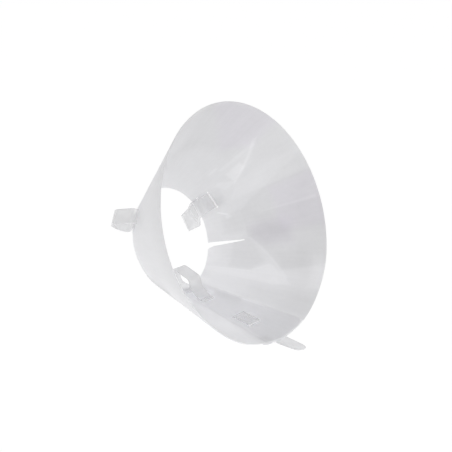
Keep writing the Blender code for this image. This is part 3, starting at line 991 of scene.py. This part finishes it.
def mark_place(angle, part):
    """The x and y of a place on the sheet, both counted in shares of the sheet's length."""
    return wrapped(angle, LOWEST_MARK) * math.degrees(TURN_SCALE), part


def frosted_plastic(context):
    finish = context.scene.collar_finish
    cone = cone_of(context)
    material, tree, surface, out = blank_material("frosted_plastic")
    along, up = surface_place(tree)
    x, y = mark_place(along * cone.span + cone.sizes["seam_start"], up)
    grain = noise(tree, GRAIN_SCALE)
    streaks = noise(tree, 1.0, STREAK_DETAIL, joined(tree, (x * STREAKS_ROUND, y * STREAKS_UP, 0.0)))
    tone = noise(tree, FLECK_SCALE) * FLECK_DEPTH + noise(tree, CLOUD_SCALE) * CLOUD_DEPTH
    tone = tone + grain * GRAIN_DEPTH + streaks * STREAK_DEPTH + SHEET_LEVEL
    # painted light towards the neck and painted shade towards the rim
    tone = tone + sum(ease(start, end, y) * change for start, end, change in NECK_LIGHT_RIM_SHADE)
    # painted light and shade, mark by mark
    tone = tone + sum(marked(x, y, *outline) * change for change, *outline in PAINTED_LIGHT_AND_SHADE)
    edge = ease(1 - CUT_EDGE, 1.0, y) + ease(1 - CUT_EDGE, 1.0, 1 - y)
    violet = sum(marked(x, y, *outline) * part for part, *outline in TINTS)
    tint = tinted(tree, finish.sheet_colour, tone + edge * CUT_TONE, violet)
    relief = {"Strength": GRAIN_STRENGTH, "Distance": GRAIN_HEIGHT, "Height": grain}
    normal = add_node(tree, "ShaderNodeBump", relief).outputs[0]
    feed(surface, {"Base Color": tint, "Roughness": finish.sheet_roughness, "Normal": normal})
    feed(out, {"Surface": soaked_through(tree, surface, tint, finish.sheet_glow)})
    return material


def clear_plastic(context):
    known = bpy.data.materials.get(STRAP_MATERIAL)
    if known:
        return known
    finish = context.scene.collar_finish
    material, tree, surface, out = blank_material(STRAP_MATERIAL)
    folded, clear = (painted(tree, attribute) for attribute in (FOLD, CLEAR))
    aside = surface_place(tree)[1] * 2 - 1
    # the straps' side edges, darkened with painted shade
    rim = ease(*STRAP_RIM, aside.math("ABSOLUTE", aside))
    tone = noise(tree, STRAP_CLOUD_SCALE) * STRAP_CLOUD_DEPTH + STRAP_LEVEL
    # painted highlight along sharp folds, painted shade along the side edges
    tint = tinted(tree, finish.strap_colour, tone + folded * FOLD_HIGHLIGHT + rim * STRAP_RIM_SHADE)
    feed(surface, {"Base Color": tint, "Roughness": finish.strap_roughness})
    clear = most(clear - rim * STRAP_RIM_DULLING, 0.0) * (1 - folded * FOLD_DULLING)
    seen_through = add_node(tree, "ShaderNodeBsdfTransparent").outputs[0]
    plastic = soaked_through(tree, surface, tint, finish.strap_glow)
    feed(out, {"Surface": mixed(tree, clear, plastic, seen_through)})
    return material


# The stage


def stage_material(stage):
    """The pale floor, which the camera sees nearly white and which still takes a soft shadow."""
    material, tree, surface, out = blank_material("stage_floor")
    lit = {
        "Base Color": (*stage.floor_colour, 1.0),
        "Roughness": 1.0,
        "Specular IOR Level": 0.0,
        "Emission Color": WHITE,
        "Emission Strength": stage.floor_glow,
    }
    feed(surface, lit)
    shade = {"Color": (FLOOR_SHADE, FLOOR_SHADE, FLOOR_SHADE, 1.0)}
    faint = add_node(tree, "ShaderNodeBsdfDiffuse", shade).outputs[0]
    glow = add_node(tree, "ShaderNodeEmission", {"Strength": stage.floor_light}).outputs[0]
    seen = add_node(tree, "ShaderNodeAddShader", {0: faint, 1: glow}).outputs[0]
    feed(out, {"Surface": picked_by_ray(tree, surface.outputs[0], seen)})
    return material


def picked_by_ray(tree, lighting, seen):
    """Shows one shader to the camera, in reflections and through clear things, and another to all else.

    Light that soaks through a sheet counts as passed and as diffuse, and stays with the other.
    """
    ray = add_node(tree, "ShaderNodeLightPath")
    kinds = ("Camera", "Glossy", "Transmission", "Diffuse")
    camera, glossy, passed, diffuse = (Field(ray.outputs[f"Is {kind} Ray"]) for kind in kinds)
    return mixed(tree, most(most(camera, glossy), passed * (1 - diffuse)), lighting, seen)


def make_world(stage):
    world = bpy.data.worlds.new("white_room")
    world.use_nodes = True
    tree = world.node_tree
    light = tree.nodes["Background"]
    feed(light, {"Color": WHITE, "Strength": stage.sky_light})
    white = add_node(tree, "ShaderNodeBackground", {"Color": WHITE})
    room = picked_by_ray(tree, light.outputs[0], white.outputs[0])
    feed(tree.nodes["World Output"], {"Surface": room})
    bpy.context.scene.world = world


def soft_light(name, target, aside, power):
    """A square area light that stands aside from a target and faces it."""
    data = bpy.data.lights.new(name, "AREA")
    data.size = LAMP_SIZE
    data.energy = power
    lamp = new_object(name, data)
    lamp.location = target + Vector(aside)
    lamp.rotation_euler = (-Vector(aside)).to_track_quat("-Z", "Y").to_euler()


def make_camera(stage, target):
    data = bpy.data.cameras.new("camera")
    data.lens = stage.camera_lens
    data.shift_x = stage.camera_shift_x
    data.shift_y = stage.camera_shift_y
    camera = new_object("camera", data)
    azimuth, elevation = stage.camera_azimuth, stage.camera_elevation
    level = math.cos(elevation)
    back = Vector((math.sin(azimuth) * level, -math.cos(azimuth) * level, math.sin(elevation)))
    facing = (-back).to_track_quat("-Z", "Y").to_matrix()
    camera.location = target + back * stage.camera_distance
    rolled = facing @ Matrix.Rotation(stage.camera_roll, 3, "Z")
    camera.rotation_euler = rolled.to_euler()
    bpy.context.scene.camera = camera


def make_stage(context):
    stage = context.scene.collar_stage

    def place(column, row):
        x, y = ((step / FLOOR_CELLS - 0.5) * stage.floor_size for step in (column, row))
        return x, y, -stage.floor_gap

    floor = mapped_grid("floor", FLOOR_CELLS, FLOOR_CELLS, place)
    floor.data.materials.append(stage_material(stage))
    floor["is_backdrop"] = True
    make_world(stage)
    low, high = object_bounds()
    middle = (low + high) / 2
    soft_light("key", middle, KEY_PLACE, stage.key_power)
    soft_light("fill", middle, FILL_PLACE, stage.fill_power)
    cone = cone_of(context)
    make_camera(stage, cone.pose() @ Vector((0.0, 0.0, cone.sizes["cone_height"] / 2)))
    context.scene.view_settings.view_transform = "Standard"
    context.scene.cycles.diffuse_bounces = stage.bounces


# The add-on


class COLLAR_OT_sheet(bpy.types.Operator):
    """Roll the frosted sheet into its lapped cone, with its slots and slit"""

    bl_idname = "collar.sheet"
    bl_label = "Cone Sheet"

    def execute(self, context):
        make_sheet(context)
        return {"FINISHED"}


class COLLAR_OT_closing_strap(bpy.types.Operator):
    """Thread the closing strap through both layers of the lap"""

    bl_idname = "collar.closing_strap"
    bl_label = "Closing Strap"

    def execute(self, context):
        make_closing_strap(context)
        return {"FINISHED"}


class COLLAR_OT_loops(bpy.types.Operator):
    """Add the two strap loops at the neck edge"""

    bl_idname = "collar.loops"
    bl_label = "Strap Loops"

    def execute(self, context):
        make_upper_loop(context)
        make_side_loop(context)
        return {"FINISHED"}


class COLLAR_OT_stage(bpy.types.Operator):
    """Set the floor, the white room, the lights and the camera"""

    bl_idname = "collar.stage"
    bl_label = "Stage"

    def execute(self, context):
        make_stage(context)
        return {"FINISHED"}


OPERATORS = (COLLAR_OT_sheet, COLLAR_OT_closing_strap, COLLAR_OT_loops, COLLAR_OT_stage)


class COLLAR_PT_sidebar(bpy.types.Panel):
    bl_label = "Elizabethan Collar"
    bl_space_type = "VIEW_3D"
    bl_region_type = "UI"
    bl_category = "Collar"

    def draw(self, context):
        for operator in OPERATORS:
            self.layout.operator(operator.bl_idname)
        for name, group in PROPERTY_GROUPS.items():
            box = self.layout.box()
            for entry in group.__annotations__:
                box.prop(getattr(context.scene, name), entry)


CLASSES = (*PROPERTY_GROUPS.values(), *OPERATORS, COLLAR_PT_sidebar)


def register():
    for entry in CLASSES:
        bpy.utils.register_class(entry)
    for name, group in PROPERTY_GROUPS.items():
        setattr(bpy.types.Scene, name, bpy.props.PointerProperty(type=group))


def unregister():
    for name in PROPERTY_GROUPS:
        delattr(bpy.types.Scene, name)
    for entry in reversed(CLASSES):
        bpy.utils.unregister_class(entry)


def main():
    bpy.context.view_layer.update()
    register()
    bpy.ops.collar.sheet()
    bpy.ops.collar.closing_strap()
    bpy.ops.collar.loops()
    bpy.ops.collar.stage()


if __name__ == "__main__":
    main()
